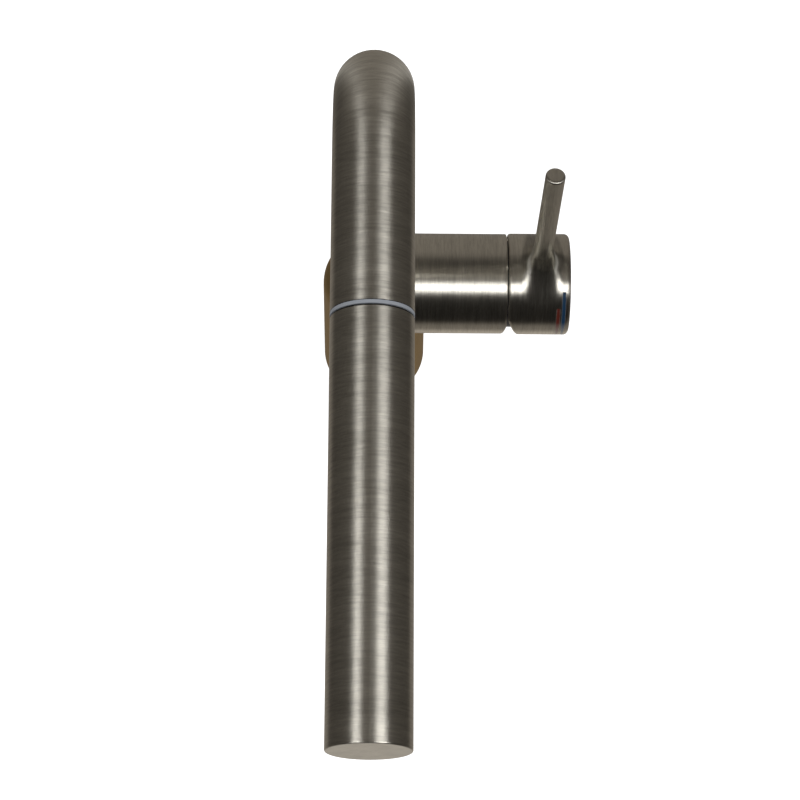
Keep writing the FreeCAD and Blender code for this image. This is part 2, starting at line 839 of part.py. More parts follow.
def lever_handle():
    body = cap_body()
    stem_hole = bar("cap_stem_hole", STEM_R + S.seat_gap, S.boss_length + OVER, (1, 0, 0), BOSS_START - OVER)
    slope = slope_block("cap_slope_cut", CAP_START, -S.cap_slope_angle, -1)
    screw_hole = bar("set_screw_hole", S.set_screw_diameter / 2 + S.screw_gap, CAP_R + OVER, (0, 0, -1),
                     SET_SCREW_ALONG)
    cold = mark_sector("cold_groove", S.cold_mark_inset, S.mark_gap, 1)
    hot = mark_sector("hot_groove", S.hot_mark_inset, S.mark_gap, -1)
    handle = cut("handle_bored", body, [stem_hole, slope, screw_hole, cold, hot])

    def on_rim(point):
        off_axis = math.hypot(point.y, point.z)
        return point.x < LEVER_ALONG.value and abs(off_axis - CAP_R.value) < NEAR

    keep(lean_back(round_edges("lever_handle", handle, S.cap_rim_edge, on_rim)), "lever_handle")


def marks():
    """Blue and red bands let into the cap, one from each side of the lever."""
    for name, inset, side in (("cold_mark", S.cold_mark_inset, 1), ("hot_mark", S.hot_mark_inset, -1)):
        band = mark_sector(f"{name}_band", inset, 0, side)
        limit = bar(f"{name}_limit", CAP_R, S.cap_length, (1, 0, 0), CAP_START)
        trimmed = doc.addObject("Part::Common", name)
        trimmed.Base = band
        trimmed.Tool = limit
        keep(lean_back(trimmed), name)


def set_screw():
    """Grub screw that grips the stem, and the plug that hides it in the cap's wall."""
    radius = S.set_screw_diameter / 2
    tip = STEM_R + S.seat_gap
    blank = bar("set_screw_blank", radius, S.set_screw_length, (0, 0, -1), SET_SCREW_ALONG, 0, -tip)
    key = hex_cutter("set_screw_key_cut", S.set_screw_key, S.set_screw_key_depth + OVER, (0, 0, 1))
    place(key, SET_SCREW_ALONG, 0, -(tip + S.set_screw_length + OVER))
    keep(lean_back(cut("set_screw", blank, [key])), "set_screw")
    top = S.cap_wall - CAP_R
    foot = top - S.plug_thickness
    plug = turned("screw_plug", "Z", [(foot, 0), (foot, radius), (top, radius), (top, 0)])
    keep(lean_back(plug, SET_SCREW_ALONG), "screw_plug")


# Column and spout

def spout_tube():
    """Bent tube: up the column, round the bend and forward to the docking ring."""
    body = new_body("spout_tube")
    path = new_sketch(body, "spout_path", "YZ_Plane")
    bend_start = S.spout_height - S.bend_radius
    draw_path(path, [
        (0, TUBE_FOOT),
        (0, bend_start),
        (-S.bend_radius, S.spout_height, S.bend_radius),
        (-S.ring_offset, S.spout_height),
    ], closed=False)
    section = new_sketch(body, "spout_section", "XY_Plane")
    section.setExpression("AttachmentOffset.Base.z", TUBE_FOOT.text)
    draw_circle(section, TUBE_R)
    draw_circle(section, TUBE_BORE_R)
    doc.recompute()
    pipe = body.newObject("PartDesign::AdditivePipe", "spout_pipe")
    pipe.Profile = section
    pipe.Spine = (path, [f"Edge{index + 1}" for index in range(len(path.Shape.Edges))])
    doc.recompute()

    def on_mouth(point):
        off_axis = math.hypot(point.x, point.z - S.spout_height.value)
        return abs(point.y + S.ring_offset.value) < NEAR and abs(off_axis - TUBE_R.value) < NEAR

    mouth = body.newObject("PartDesign::Fillet", "mouth_rounding")
    mouth.Base = (pipe, edge_names(pipe.Shape, on_mouth))
    bind(mouth, "Radius", S.mouth_edge)
    keep(body, "spout_tube")


def spout_insert():
    """Brass foot of the column: it turns in the socket and is held by the lock screw's groove."""
    body = new_body("spout_insert")
    bore_r = S.insert_bore / 2
    spigot_r = TUBE_BORE_R - S.seat_gap
    groove_r = TUBE_R - S.insert_groove_depth
    half = S.o_ring_thickness / 2 + S.seat_gap
    middle = INSERT_FOOT + S.o_ring_rise
    outline = [
        (INSERT_FOOT, bore_r),
        (INSERT_FOOT, TUBE_R),
        (middle - half, TUBE_R),
        (middle - half, groove_r),
        (middle + half, groove_r),
        (middle + half, TUBE_R),
        (TUBE_FOOT, TUBE_R),
        (TUBE_FOOT, spigot_r),
        (TUBE_FOOT + S.insert_spigot, spigot_r),
        (TUBE_FOOT + S.insert_spigot, bore_r),
    ]
    spin(body, "Revolution", "insert_turning", profile(body, "insert_profile", "Z", outline), "Z")
    doc.recompute()
    screw_half = LOCK_SCREW_R + S.stop_gap
    track = new_sketch(body, "lock_track", "YZ_Plane")
    draw_path(track, [
        (groove_r, LOCK_HEIGHT - screw_half),
        (TUBE_R + OVER, LOCK_HEIGHT - screw_half),
        (TUBE_R + OVER, LOCK_HEIGHT + screw_half),
        (groove_r, LOCK_HEIGHT + screw_half),
    ])
    groove = body.newObject("PartDesign::Groove", "lock_groove")
    groove.Profile = track
    groove.ReferenceAxis = (track, ["V_Axis"])
    groove.Midplane = True
    stop_angle = screw_half / groove_r * math.degrees(1)
    bind(groove, "Angle", (S.swivel_limit_angle + stop_angle) * 2)
    keep(body, "spout_insert")


def insert_o_ring():
    thick_r = S.o_ring_thickness / 2
    item = doc.addObject("Part::Torus", "insert_o_ring")
    bind(item, "Radius1", TUBE_R - S.seat_gap - thick_r)
    bind(item, "Radius2", thick_r)
    place(item, z=INSERT_FOOT + S.o_ring_rise)
    keep(item, "insert_o_ring")


def glide_washer():
    washer = ring("glide_washer", "Z", SOCKET_FLOOR, INSERT_FOOT, TUBE_R - S.seat_gap, S.glide_bore / 2)
    keep(washer, "glide_washer")


def lock_screw():
    """Grub screw at the back of the socket whose tip stands in the insert's groove."""
    height = LOCK_SCREW_R + LOCK_HEIGHT - S.handle_height
    surface = (DOME_R * DOME_R - height * height).root()
    blank = bar("lock_screw_blank", LOCK_SCREW_R, surface - S.lock_screw_reach, (0, 1, 0),
                0, S.lock_screw_reach, LOCK_HEIGHT)
    key = hex_cutter("lock_screw_key_cut", S.lock_screw_key, S.lock_screw_key_depth + OVER, (0, 1, 0))
    place(key, 0, surface - S.lock_screw_key_depth, LOCK_HEIGHT)
    keep(cut("lock_screw", blank, [key]), "lock_screw")


def dock_ring():
    """Pale ring at the tube's mouth, with the sleeve that the spray head docks in."""
    sleeve_r = TUBE_BORE_R - S.seat_gap
    bore_r = S.dock_bore / 2
    outline = [
        (RING_FRONT, bore_r),
        (RING_FRONT, TUBE_R),
        (-S.ring_offset, TUBE_R),
        (-S.ring_offset, sleeve_r),
        (-S.ring_offset + S.dock_depth, sleeve_r),
        (-S.ring_offset + S.dock_depth, bore_r),
    ]
    keep(turned("dock_ring", "Y", outline, S.spout_height), "dock_ring")


# Spray head

def spray_shell():
    outline = [
        (CAP_SEAM, HEAD_BORE_R),
        (CAP_SEAM, HEAD_R),
        (HEAD_REAR - S.mouth_edge, HEAD_R),
        (HEAD_REAR, HEAD_R - S.mouth_edge, -S.mouth_edge),
        (HEAD_REAR, HEAD_BORE_R),
    ]
    blank = turned("shell_blank", "Y", outline, S.spout_height)
    hole = bar("shell_outlet", NOZZLE_R + S.seat_gap, HEAD_R + OVER, (0, 0, -1), 0, OUTLET_Y, S.spout_height)
    keep(cut("spray_shell", blank, [hole]), "spray_shell")


def end_cap():
    spigot_r = HEAD_BORE_R - S.seat_gap
    outline = [
        (ELBOW_FRONT, 0),
        (ELBOW_FRONT, spigot_r),
        (CAP_SEAM, spigot_r),
        (CAP_SEAM, HEAD_R),
        (HEAD_FRONT + S.end_cap_edge, HEAD_R),
        (HEAD_FRONT, HEAD_R - S.end_cap_edge, S.end_cap_edge),
        (HEAD_FRONT, 0),
    ]
    keep(turned("end_cap", "Y", outline, S.spout_height), "end_cap")


def docking_plug():
    """Plastic tail of the spray head that slides into the docking sleeve."""
    bore_r = S.connector_diameter / 2 + S.seat_gap
    flange_r = HEAD_BORE_R - S.seat_gap
    flange_front = HEAD_REAR - S.plug_flange
    groove_r = PLUG_R - S.o_ring_thickness
    groove_rear = HEAD_REAR + S.plug_reach / 2
    groove_front = groove_rear - S.o_ring_thickness
    outline = [
        (HEAD_REAR + S.plug_reach, bore_r),
        (HEAD_REAR + S.plug_reach, PLUG_R - S.end_cap_edge),
        (HEAD_REAR + S.plug_reach - S.end_cap_edge, PLUG_R),
        (groove_rear, PLUG_R),
        (groove_rear, groove_r),
        (groove_front, groove_r),
        (groove_front, PLUG_R),
        (HEAD_REAR, PLUG_R),
        (HEAD_REAR, flange_r),
        (flange_front, flange_r),
        (flange_front, bore_r),
    ]
    keep(turned("docking_plug", "Y", outline, S.spout_height), "docking_plug")
    seal = ring("plug_o_ring", "Y", groove_front + S.seat_gap, groove_rear - S.seat_gap, PLUG_R,
                groove_r + S.seat_gap, S.spout_height)
    keep(seal, "plug_o_ring")


def hose_connector():
    """Threaded tail for the hose, stepped down to plug into the waterway tube."""
    outer = S.connector_diameter / 2
    bore = S.connector_bore / 2
    spigot_r = S.waterway_bore / 2 - S.seat_gap
    outline = [
        (CONNECTOR_REAR, bore),
        (CONNECTOR_REAR, outer),
        (CONNECTOR_SHOULDER, outer),
        (CONNECTOR_SHOULDER, spigot_r),
        (CONNECTOR_SHOULDER - S.spigot_length, spigot_r),
        (CONNECTOR_SHOULDER - S.spigot_length, bore),
    ]
    keep(turned("hose_connector", "Y", outline, S.spout_height), "hose_connector")


def check_valve():
    start = CONNECTOR_SHOULDER
    valve = ring("check_valve", "Y", start, start + S.check_valve_length, S.connector_bore / 2 - S.seat_gap,
                 S.check_valve_bore / 2, S.spout_height)
    keep(valve, "check_valve")


def waterway_tube():
    front = ELBOW_REAR - S.elbow_socket
    tube = ring("waterway_tube", "Y", front, CONNECTOR_SHOULDER, S.waterway_diameter / 2, S.waterway_bore / 2,
                S.spout_height)
    keep(tube, "waterway_tube")


def waterway_elbow():
    """Moulded block that turns the water down to the outlet."""
    blank = bar("elbow_blank", HEAD_BORE_R - S.seat_gap, S.elbow_length, (0, 1, 0), 0, ELBOW_FRONT,
                S.spout_height)
    socket_front = ELBOW_REAR - S.elbow_socket
    bore_r = S.waterway_bore / 2
    tools = [
        bar("elbow_socket_cut", S.waterway_diameter / 2 + S.seat_gap, S.elbow_socket + OVER, (0, 1, 0), 0,
            socket_front, S.spout_height),
        bar("elbow_bore", bore_r, socket_front - OUTLET_Y + OVER, (0, 1, 0), 0, OUTLET_Y, S.spout_height),
        bar("elbow_drop", bore_r, S.spout_height - NOZZLE_TOP + OVER, (0, 0, 1), 0, OUTLET_Y,
            NOZZLE_TOP - OVER),
        bar("elbow_nozzle_seat", NOZZLE_R + S.seat_gap, S.nozzle_depth, (0, 0, 1), 0, OUTLET_Y, NOZZLE_FOOT),
    ]
    keep(cut("waterway_elbow", blank, tools), "waterway_elbow")


def nozzle():
    """Outlet under the head: metal ring, seal, aerator and its screen."""
    bore_r = NOZZLE_R - S.nozzle_wall
    seal_foot = NOZZLE_TOP - S.aerator_seal_thickness
    screen_foot = NOZZLE_FOOT + S.aerator_recess
    aerator_foot = screen_foot + S.screen_thickness
    outline = [
        (NOZZLE_FOOT, bore_r),
        (NOZZLE_FOOT, NOZZLE_R - S.nozzle_edge),
        (NOZZLE_FOOT + S.nozzle_edge, NOZZLE_R, S.nozzle_edge),
        (NOZZLE_TOP, NOZZLE_R),
        (NOZZLE_TOP, bore_r),
    ]
    keep(turned("nozzle_ring", "Z", outline, along_y=OUTLET_Y), "nozzle_ring")
    seal = ring("aerator_seal", "Z", seal_foot, NOZZLE_TOP, AERATOR_R, S.aerator_seal_bore / 2,
                along_y=OUTLET_Y)
    keep(seal, "aerator_seal")
    body = ring("aerator_body", "Z", aerator_foot, seal_foot, AERATOR_R, S.aerator_seal_bore / 2,
                along_y=OUTLET_Y)
    keep(body, "aerator_body")
    disc = bar("screen_blank", AERATOR_R, S.screen_thickness, (0, 0, 1), 0, OUTLET_Y, screen_foot)
    holes = []
    for level in range(SCREEN_RINGS + 1):
        count = max(HEX_SIDES * level, 1)
        for step in range(count):
            angle = math.tau * step / count
            x = S.screen_pitch * level * math.cos(angle)
            y = OUTLET_Y + S.screen_pitch * level * math.sin(angle)
            holes.append(bar(f"screen_hole_{level}_{step}", S.screen_hole / 2, S.screen_thickness + OVER * 2,
                             (0, 0, 1), x, y, screen_foot - OVER))
    keep(cut("aerator_screen", disc, holes), "aerator_screen")


def build():
    valve_body()
    base_gasket()
    mounting_shank()
    lock_nut(deck_washers())
    glide_washer()
    lock_screw()
    barrel_sleeve()
    seat_gasket()
    cartridge_body()
    fixed_disc()
    cartridge_nut()
    trim_ring()
    moving_disc()
    rotor()
    pivot_pin()
    stem()
    lever_handle()
    marks()
    set_screw()
    spout_tube()
    spout_insert()
    insert_o_ring()
    dock_ring()
    spray_shell()
    end_cap()
    docking_plug()
    hose_connector()
    check_valve()
    waterway_tube()
    waterway_elbow()
    nozzle()
    doc.recompute()


def check_document():
    """Stop on any failed object or sub-part before a file is written."""
    for item in doc.Objects:
        if {"Invalid", "Error"} & set(item.State):
            raise RuntimeError(f"{item.Label} failed: {item.State}")
    for item in NODES:
        if item.Shape.isNull() or not item.Shape.isValid():
            raise RuntimeError(f"{item.Label} has no valid shape")
        if len(item.Shape.Solids) != 1:
            raise RuntimeError(f"{item.Label} has {len(item.Shape.Solids)} solids")


def write_parts():
    os.makedirs("parts", exist_ok=True)
    for item in NODES:
        item.Shape.exportStep(os.path.join("parts", f"{item.Label}.step"))


build()
check_document()
write_parts()
print(f"{len(NODES)} sub-parts written")
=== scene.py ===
"""Kitchen tap with a pull-out spray head: finishes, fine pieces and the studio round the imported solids."""

import math

import bmesh
import bpy
from mathutils import Matrix, Vector


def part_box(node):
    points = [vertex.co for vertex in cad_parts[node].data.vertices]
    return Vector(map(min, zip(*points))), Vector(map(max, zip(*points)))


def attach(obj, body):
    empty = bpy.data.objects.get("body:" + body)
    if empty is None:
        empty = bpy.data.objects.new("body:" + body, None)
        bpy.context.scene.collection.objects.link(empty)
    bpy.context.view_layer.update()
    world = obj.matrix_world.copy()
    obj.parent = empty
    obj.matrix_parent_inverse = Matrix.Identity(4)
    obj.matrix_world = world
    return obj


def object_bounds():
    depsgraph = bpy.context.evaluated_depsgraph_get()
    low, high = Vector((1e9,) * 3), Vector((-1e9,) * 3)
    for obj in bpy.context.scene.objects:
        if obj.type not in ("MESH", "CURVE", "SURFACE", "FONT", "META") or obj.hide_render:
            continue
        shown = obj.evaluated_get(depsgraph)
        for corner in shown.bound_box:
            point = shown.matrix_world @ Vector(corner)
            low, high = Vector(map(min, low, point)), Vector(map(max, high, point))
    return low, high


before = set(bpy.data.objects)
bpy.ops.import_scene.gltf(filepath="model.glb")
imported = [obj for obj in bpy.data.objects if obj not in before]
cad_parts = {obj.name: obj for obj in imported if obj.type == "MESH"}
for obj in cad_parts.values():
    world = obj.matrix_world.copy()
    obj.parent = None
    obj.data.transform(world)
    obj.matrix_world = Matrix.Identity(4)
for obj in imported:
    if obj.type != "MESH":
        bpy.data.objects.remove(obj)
CAD_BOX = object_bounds()

bl_info = {
    "name": "Kitchen Tap Finishes",
    "version": (1, 0, 0),
    "blender": (4, 5, 0),
    "location": "View3D > Sidebar > Kitchen Tap",
    "description": "Brushed metal, threads, marks and a studio for a pull-out kitchen tap",
    "category": "Object",
}

MM = 0.001


def middle(node):
    low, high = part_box(node)
    return (low + high) / 2


def span(node):
    low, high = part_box(node)
    return high - low


HANDLE_AXIS = middle("barrel_sleeve").z
SPOUT_AXIS = middle("spray_shell").z
BEND_FRONT = -0.0385
BEND_FOOT = SPOUT_AXIS + BEND_FRONT
OUTLET = middle("nozzle_ring")
LEAN_BACK = math.radians(13)
LEVER_OUT = math.radians(2.3)
LEVER_LINE = Vector((math.sin(LEVER_OUT), math.cos(LEVER_OUT) * math.sin(LEAN_BACK),
                     math.cos(LEVER_OUT) * math.cos(LEAN_BACK)))
LEVER_FOOT = Vector((span("barrel_sleeve").x + 0.01665, 0, HANDLE_AXIS))
BRUSH_STRETCH = 0.926
LINE_CONTRAST = 0.24
LINE_DEPTH = 0.10 * MM
LINE_ACROSS = 0.09
# Width of the painted shadow line at the spray head's rear edge; half of it at the spout tube's mouth
SEAM_SHADOW = 0.6 * MM
# Nickel of the spray head's end face, set paler than the side's: painted light
END_FACE_PAINTED_LIGHT = (0.72, 0.715, 0.665)
CUT_BRASS = (0.62, 0.47, 0.24)
ZINC = (0.55, 0.55, 0.55)
HOSE_PITCH = 1.0 * MM

# The soft flare at the foot of the lever's rod: where it starts and ends round the rod, how far it
# rises, and where it fades along the cap
FLARE_START = 4.3 * MM
FLARE_REACH = 18.0 * MM
FLARE_RISE = 7.2 * MM
FLARE_SIDES = ((-3.2 * MM, -9.0 * MM), (4.0 * MM, 9.5 * MM))


# Settings that a user would change

class TapSizes(bpy.types.PropertyGroup):
    shank_pitch: bpy.props.FloatProperty(
        name="Shank thread pitch", description="Rise of one turn of the mounting shank's thread",
        default=1.5 * MM, subtype="DISTANCE", unit="LENGTH")
    screw_pitch: bpy.props.FloatProperty(
        name="Jack screw thread pitch", description="Rise of one turn of a jack screw's thread",
        default=0.7 * MM, subtype="DISTANCE", unit="LENGTH")
    mesh_step: bpy.props.FloatProperty(
        name="Outlet mesh step", description="Distance between the wires of the outlet's mesh",
        default=1.2 * MM, subtype="DISTANCE", unit="LENGTH")
    brush_line: bpy.props.FloatProperty(
        name="Brush line spacing", description="Mean distance between brush lines on the outer metal",
        default=0.7 * MM, subtype="DISTANCE", unit="LENGTH")


class TapFinishes(bpy.types.PropertyGroup):
    nickel: bpy.props.FloatVectorProperty(
        name="Nickel", description="Colour of the brushed outer metal",
        default=(0.70, 0.672, 0.60), subtype="COLOR", size=3, min=0, max=1)
    brass: bpy.props.FloatVectorProperty(
        name="Brass body", description="Colour of the valve body",
        default=(0.60, 0.41, 0.165), subtype="COLOR", size=3, min=0, max=1)
    ring: bpy.props.FloatVectorProperty(
        name="Docking ring", description="Colour of the pale ring behind the spray head",
        default=(0.30, 0.32, 0.35), subtype="COLOR", size=3, min=0, max=1)
    cold: bpy.props.FloatVectorProperty(
        name="Cold mark", description="Enamel colour of the cold mark",
        default=(0.005, 0.028, 0.066), subtype="COLOR", size=3, min=0, max=1)
    hot: bpy.props.FloatVectorProperty(
        name="Hot mark", description="Enamel colour of the hot mark",
        default=(0.075, 0.010, 0.005), subtype="COLOR", size=3, min=0, max=1)
    nickel_roughness: bpy.props.FloatProperty(
        name="Nickel roughness", description="Mean roughness of the brushed metal",
        default=0.365, min=0, max=1, subtype="FACTOR")


class TapStudio(bpy.types.PropertyGroup):
    lamp_level: bpy.props.FloatProperty(
        name="Lamp level", description="Radiance of the two soft boxes", default=8.0, min=0)
    wall_level: bpy.props.FloatProperty(
        name="Wall level", description="How bright the studio's walls look in the metal", default=1.0, min=0)


# Shader helpers

def add_node(tree, kind, **settings):
    item = tree.nodes.new(kind)
    for name, value in settings.items():
        setattr(item, name, value)
    return item


def feed(tree, socket, source):
    """Give a socket a number, a colour or a link."""
    if isinstance(source, bpy.types.NodeSocket):
        tree.links.new(source, socket)
    elif source is not None:
        if socket.type == "RGBA" and len(source) == 3:
            source = (*source, 1.0)
        socket.default_value = source


def calc(tree, operation, first, second=None, third=None):
    item = add_node(tree, "ShaderNodeMath", operation=operation)
    for socket, source in zip(item.inputs, (first, second, third)):
        feed(tree, socket, source)
    return item.outputs[0]


def vector_calc(tree, operation, first, second=None):
    item = add_node(tree, "ShaderNodeVectorMath", operation=operation)
    feed(tree, item.inputs[0], first)
    feed(tree, item.inputs[1], second)
    return item.outputs[0]


def combine(tree, x=0.0, y=0.0, z=0.0):
    item = add_node(tree, "ShaderNodeCombineXYZ")
    for socket, source in zip(item.inputs, (x, y, z)):
        feed(tree, socket, source)
    return item.outputs[0]


def separate(tree, vector):
    item = add_node(tree, "ShaderNodeSeparateXYZ")
    tree.links.new(vector, item.inputs[0])
    return item.outputs


def noise(tree, vector, scale, detail=3.0, roughness=0.6):
    item = add_node(tree, "ShaderNodeTexNoise")
    tree.links.new(vector, item.inputs["Vector"])
    item.inputs["Scale"].default_value = scale
    item.inputs["Detail"].default_value = detail
    item.inputs["Roughness"].default_value = roughness
    return item.outputs["Fac"]


def remap(tree, value, low, high, to_low, to_high, smooth=False):
    item = add_node(tree, "ShaderNodeMapRange", interpolation_type="SMOOTHSTEP" if smooth else "LINEAR")
    for name, source in (("Value", value), ("From Min", low), ("From Max", high), ("To Min", to_low),
                         ("To Max", to_high)):
        feed(tree, item.inputs[name], source)
    return item.outputs["Result"]


def blend_colour(tree, factor, first, second, mode="MIX"):
    item = add_node(tree, "ShaderNodeMix", data_type="RGBA", blend_type=mode)
    feed(tree, item.inputs["Factor"], factor)
    feed(tree, item.inputs[6], first)
    feed(tree, item.inputs[7], second)
    return item.outputs[2]


def object_place(tree):
    return add_node(tree, "ShaderNodeTexCoord").outputs["Object"]


def new_material(name, metallic=0.0, roughness=0.5, anisotropic=0.0, coat=0.0):
    material = bpy.data.materials.new(name)
    material.use_nodes = True
    shader = material.node_tree.nodes["Principled BSDF"]
    shader.inputs["Metallic"].default_value = metallic
    shader.inputs["Roughness"].default_value = roughness
    shader.inputs["Anisotropic"].default_value = anisotropic
    shader.inputs["Coat Weight"].default_value = coat
    return material, material.node_tree, shader


def raise_surface(tree, shader, height, distance, below=None):
    """Raise the surface by a height pattern, over an earlier bump if there is one."""
    bump = add_node(tree, "ShaderNodeBump")
    bump.inputs["Distance"].default_value = distance
    tree.links.new(height, bump.inputs["Height"])
    if below:
        tree.links.new(below, bump.inputs["Normal"])
    tree.links.new(bump.outputs["Normal"], shader.inputs["Normal"])
    return bump.outputs["Normal"]


def new_group(name, inputs, outputs):
    """Shader node group with named sockets."""
    group = bpy.data.node_groups.new(name, "ShaderNodeTree")
    for socket, kind, default in inputs:
        made = group.interface.new_socket(socket, in_out="INPUT", socket_type=kind)
        if default is not None:
            made.default_value = default
    for socket, kind in outputs:
        group.interface.new_socket(socket, in_out="OUTPUT", socket_type=kind)
    return group, group.nodes.new("NodeGroupInput"), group.nodes.new("NodeGroupOutput")


def place_group(tree, group, **values):
    item = add_node(tree, "ShaderNodeGroup", node_tree=group)
    for name, source in values.items():
        feed(tree, item.inputs[name.replace("_", " ")], source)
    return item.outputs


def brush_group():
    """Fine lines across the direction of brushing, with faint broader bands and hand marks."""
    group, start, end = new_group(
        "Brush lines",
        [("Place", "NodeSocketVector", None), ("Colour", "NodeSocketColor", (0.5, 0.5, 0.5, 1)),
         ("Roughness", "NodeSocketFloat", 0.35), ("Line density", "NodeSocketFloat", 2000.0),
         ("Contrast", "NodeSocketFloat", 0.1)],
        [("Colour", "NodeSocketColor"), ("Roughness", "NodeSocketFloat"), ("Height", "NodeSocketFloat")])
    place = start.outputs["Place"]
    stretch = combine(group, LINE_ACROSS, LINE_ACROSS, 1.0)
    lined = vector_calc(group, "MULTIPLY", place, stretch)
    scaled = add_node(group, "ShaderNodeVectorMath", operation="SCALE")
    group.links.new(lined, scaled.inputs[0])
    group.links.new(start.outputs["Line density"], scaled.inputs["Scale"])
    lines = noise(group, scaled.outputs[0], 1.0, detail=4.0, roughness=0.7)
    bands = noise(group, lined, 160.0, detail=2.0)
    clouds = noise(group, place, 28.0, detail=3.0)
    detail = calc(group, "ADD", calc(group, "MULTIPLY", lines, 0.7), calc(group, "MULTIPLY", bands, 0.3))
    signed = calc(group, "MULTIPLY", calc(group, "SUBTRACT", detail, 0.5), start.outputs["Contrast"])
    tone = calc(group, "ADD", 1.0, calc(group, "MULTIPLY", signed, 5.0))
    clouded = calc(group, "MULTIPLY", tone, remap(group, clouds, 0.3, 0.7, 0.97, 1.03))
    tint = vector_calc(group, "SCALE", start.outputs["Colour"])
    group.links.new(clouded, tint.node.inputs["Scale"])
    group.links.new(tint, end.inputs["Colour"])
    rough = calc(group, "ADD", start.outputs["Roughness"], signed)
    rough = calc(group, "ADD", rough, remap(group, clouds, 0.3, 0.7, -0.015, 0.015))
    group.links.new(calc(group, "MAXIMUM", rough, 0.04), end.inputs["Roughness"])
    group.links.new(detail, end.inputs["Height"])
    return group


def mould_group():
    """Fine texture and uneven tone of moulded plastic, rubber and cast metal."""
    group, start, end = new_group(
        "Moulded surface",
        [("Place", "NodeSocketVector", None), ("Colour", "NodeSocketColor", (0.5, 0.5, 0.5, 1)),
         ("Roughness", "NodeSocketFloat", 0.5), ("Grain density", "NodeSocketFloat", 1500.0),
         ("Contrast", "NodeSocketFloat", 0.1)],
        [("Colour", "NodeSocketColor"), ("Roughness", "NodeSocketFloat"), ("Height", "NodeSocketFloat")])
    place = start.outputs["Place"]
    scaled = add_node(group, "ShaderNodeVectorMath", operation="SCALE")
    group.links.new(place, scaled.inputs[0])
    group.links.new(start.outputs["Grain density"], scaled.inputs["Scale"])
    grain = noise(group, scaled.outputs[0], 1.0, detail=2.0)
    clouds = noise(group, place, 60.0, detail=3.0)
    mixed = calc(group, "ADD", calc(group, "MULTIPLY", grain, 0.5), calc(group, "MULTIPLY", clouds, 0.5))
    signed = calc(group, "MULTIPLY", calc(group, "SUBTRACT", mixed, 0.5), start.outputs["Contrast"])
    tint = vector_calc(group, "SCALE", start.outputs["Colour"])
    group.links.new(calc(group, "ADD", 1.0, calc(group, "MULTIPLY", signed, 2.0)), tint.node.inputs["Scale"])
    group.links.new(tint, end.inputs["Colour"])
    group.links.new(calc(group, "ADD", start.outputs["Roughness"], signed), end.inputs["Roughness"])
    group.links.new(grain, end.inputs["Height"])
    return group


def thread_group():
    """Screw thread round the Z axis of a place: height of the flanks and a mask of the roots."""
    group, start, end = new_group(
        "Screw thread",
        [("Place", "NodeSocketVector", None), ("Turns per metre", "NodeSocketFloat", 666.7)],
        [("Height", "NodeSocketFloat"), ("Root", "NodeSocketFloat")])
    x, y, z = separate(group, start.outputs["Place"])
    turn = calc(group, "DIVIDE", calc(group, "ARCTAN2", y, x), math.tau)
    climb = calc(group, "SUBTRACT", calc(group, "MULTIPLY", z, start.outputs["Turns per metre"]), turn)
    flank = calc(group, "MULTIPLY", calc(group, "PINGPONG", climb, 0.5), 2.0)
    group.links.new(flank, end.inputs["Height"])
    group.links.new(remap(group, flank, 0.0, 0.35, 1.0, 0.0, smooth=True), end.inputs["Root"])
    return group


# Places and directions of the brushing

def turn_place(tree, axis, centre):
    """Place on a turned piece: the lines run round its axis."""
    shifted = vector_calc(tree, "SUBTRACT", object_place(tree), tuple(centre))
    x, y, z = separate(tree, shifted)
    order = {"X": (y, z, x), "Y": (z, x, y), "Z": (x, y, z)}[axis]
    return combine(tree, *order)


def spout_place(tree):
    """Place along the column, round its bend and along the forward tube."""
    shifted = vector_calc(tree, "SUBTRACT", object_place(tree), (0.0, BEND_FRONT, BEND_FOOT))
    x, y, z = separate(tree, shifted)
    back = calc(tree, "MAXIMUM", y, 0.0)
    up = calc(tree, "MAXIMUM", z, 0.0)
    turn = calc(tree, "ARCTAN2", up, back)
    reach = calc(tree, "ADD", calc(tree, "POWER", back, 2.0), calc(tree, "POWER", up, 2.0))
    reach = calc(tree, "SQRT", reach)
    along = calc(tree, "MULTIPLY", turn, -BEND_FRONT)
    along = calc(tree, "ADD", along, calc(tree, "MINIMUM", z, 0.0))
    along = calc(tree, "SUBTRACT", along, calc(tree, "MINIMUM", y, 0.0))
    direction = combine(tree, 0.0, calc(tree, "MULTIPLY", calc(tree, "SINE", turn), -1.0),
                        calc(tree, "COSINE", turn))
    return combine(tree, x, reach, along), direction


def set_tangent(tree, shader, direction):
    """Stretch the gloss along a direction that turns with the piece."""
    turned = add_node(tree, "ShaderNodeVectorTransform", vector_type="VECTOR", convert_from="OBJECT",
                      convert_to="WORLD")
    feed(tree, turned.inputs[0], direction)
    tree.links.new(turned.outputs[0], shader.inputs["Tangent"])


def finish_brushed(tree, shader, group, place, colour, roughness, density, below=None):
    """Brush lines in the colour, the gloss and the height of a metal."""
    lines = place_group(tree, group, Place=place, Colour=colour, Roughness=roughness, Line_density=density,
                        Contrast=LINE_CONTRAST)
    tree.links.new(lines["Colour"], shader.inputs["Base Color"])
    tree.links.new(lines["Roughness"], shader.inputs["Roughness"])
    raise_surface(tree, shader, lines["Height"], LINE_DEPTH, below)


def brushed_metal(name, group, colour, roughness, axis, centre, density, anisotropic=BRUSH_STRETCH):
    """Metal brushed round one axis of a turned piece."""
    material, tree, shader = new_material(name, metallic=1.0, anisotropic=anisotropic)
    place = turn_place(tree, axis, centre)
    finish_brushed(tree, shader, group, place, colour, roughness, density)
    set_tangent(tree, shader, {"X": (1, 0, 0), "Y": (0, 1, 0), "Z": (0, 0, 1)}[axis])
    return material


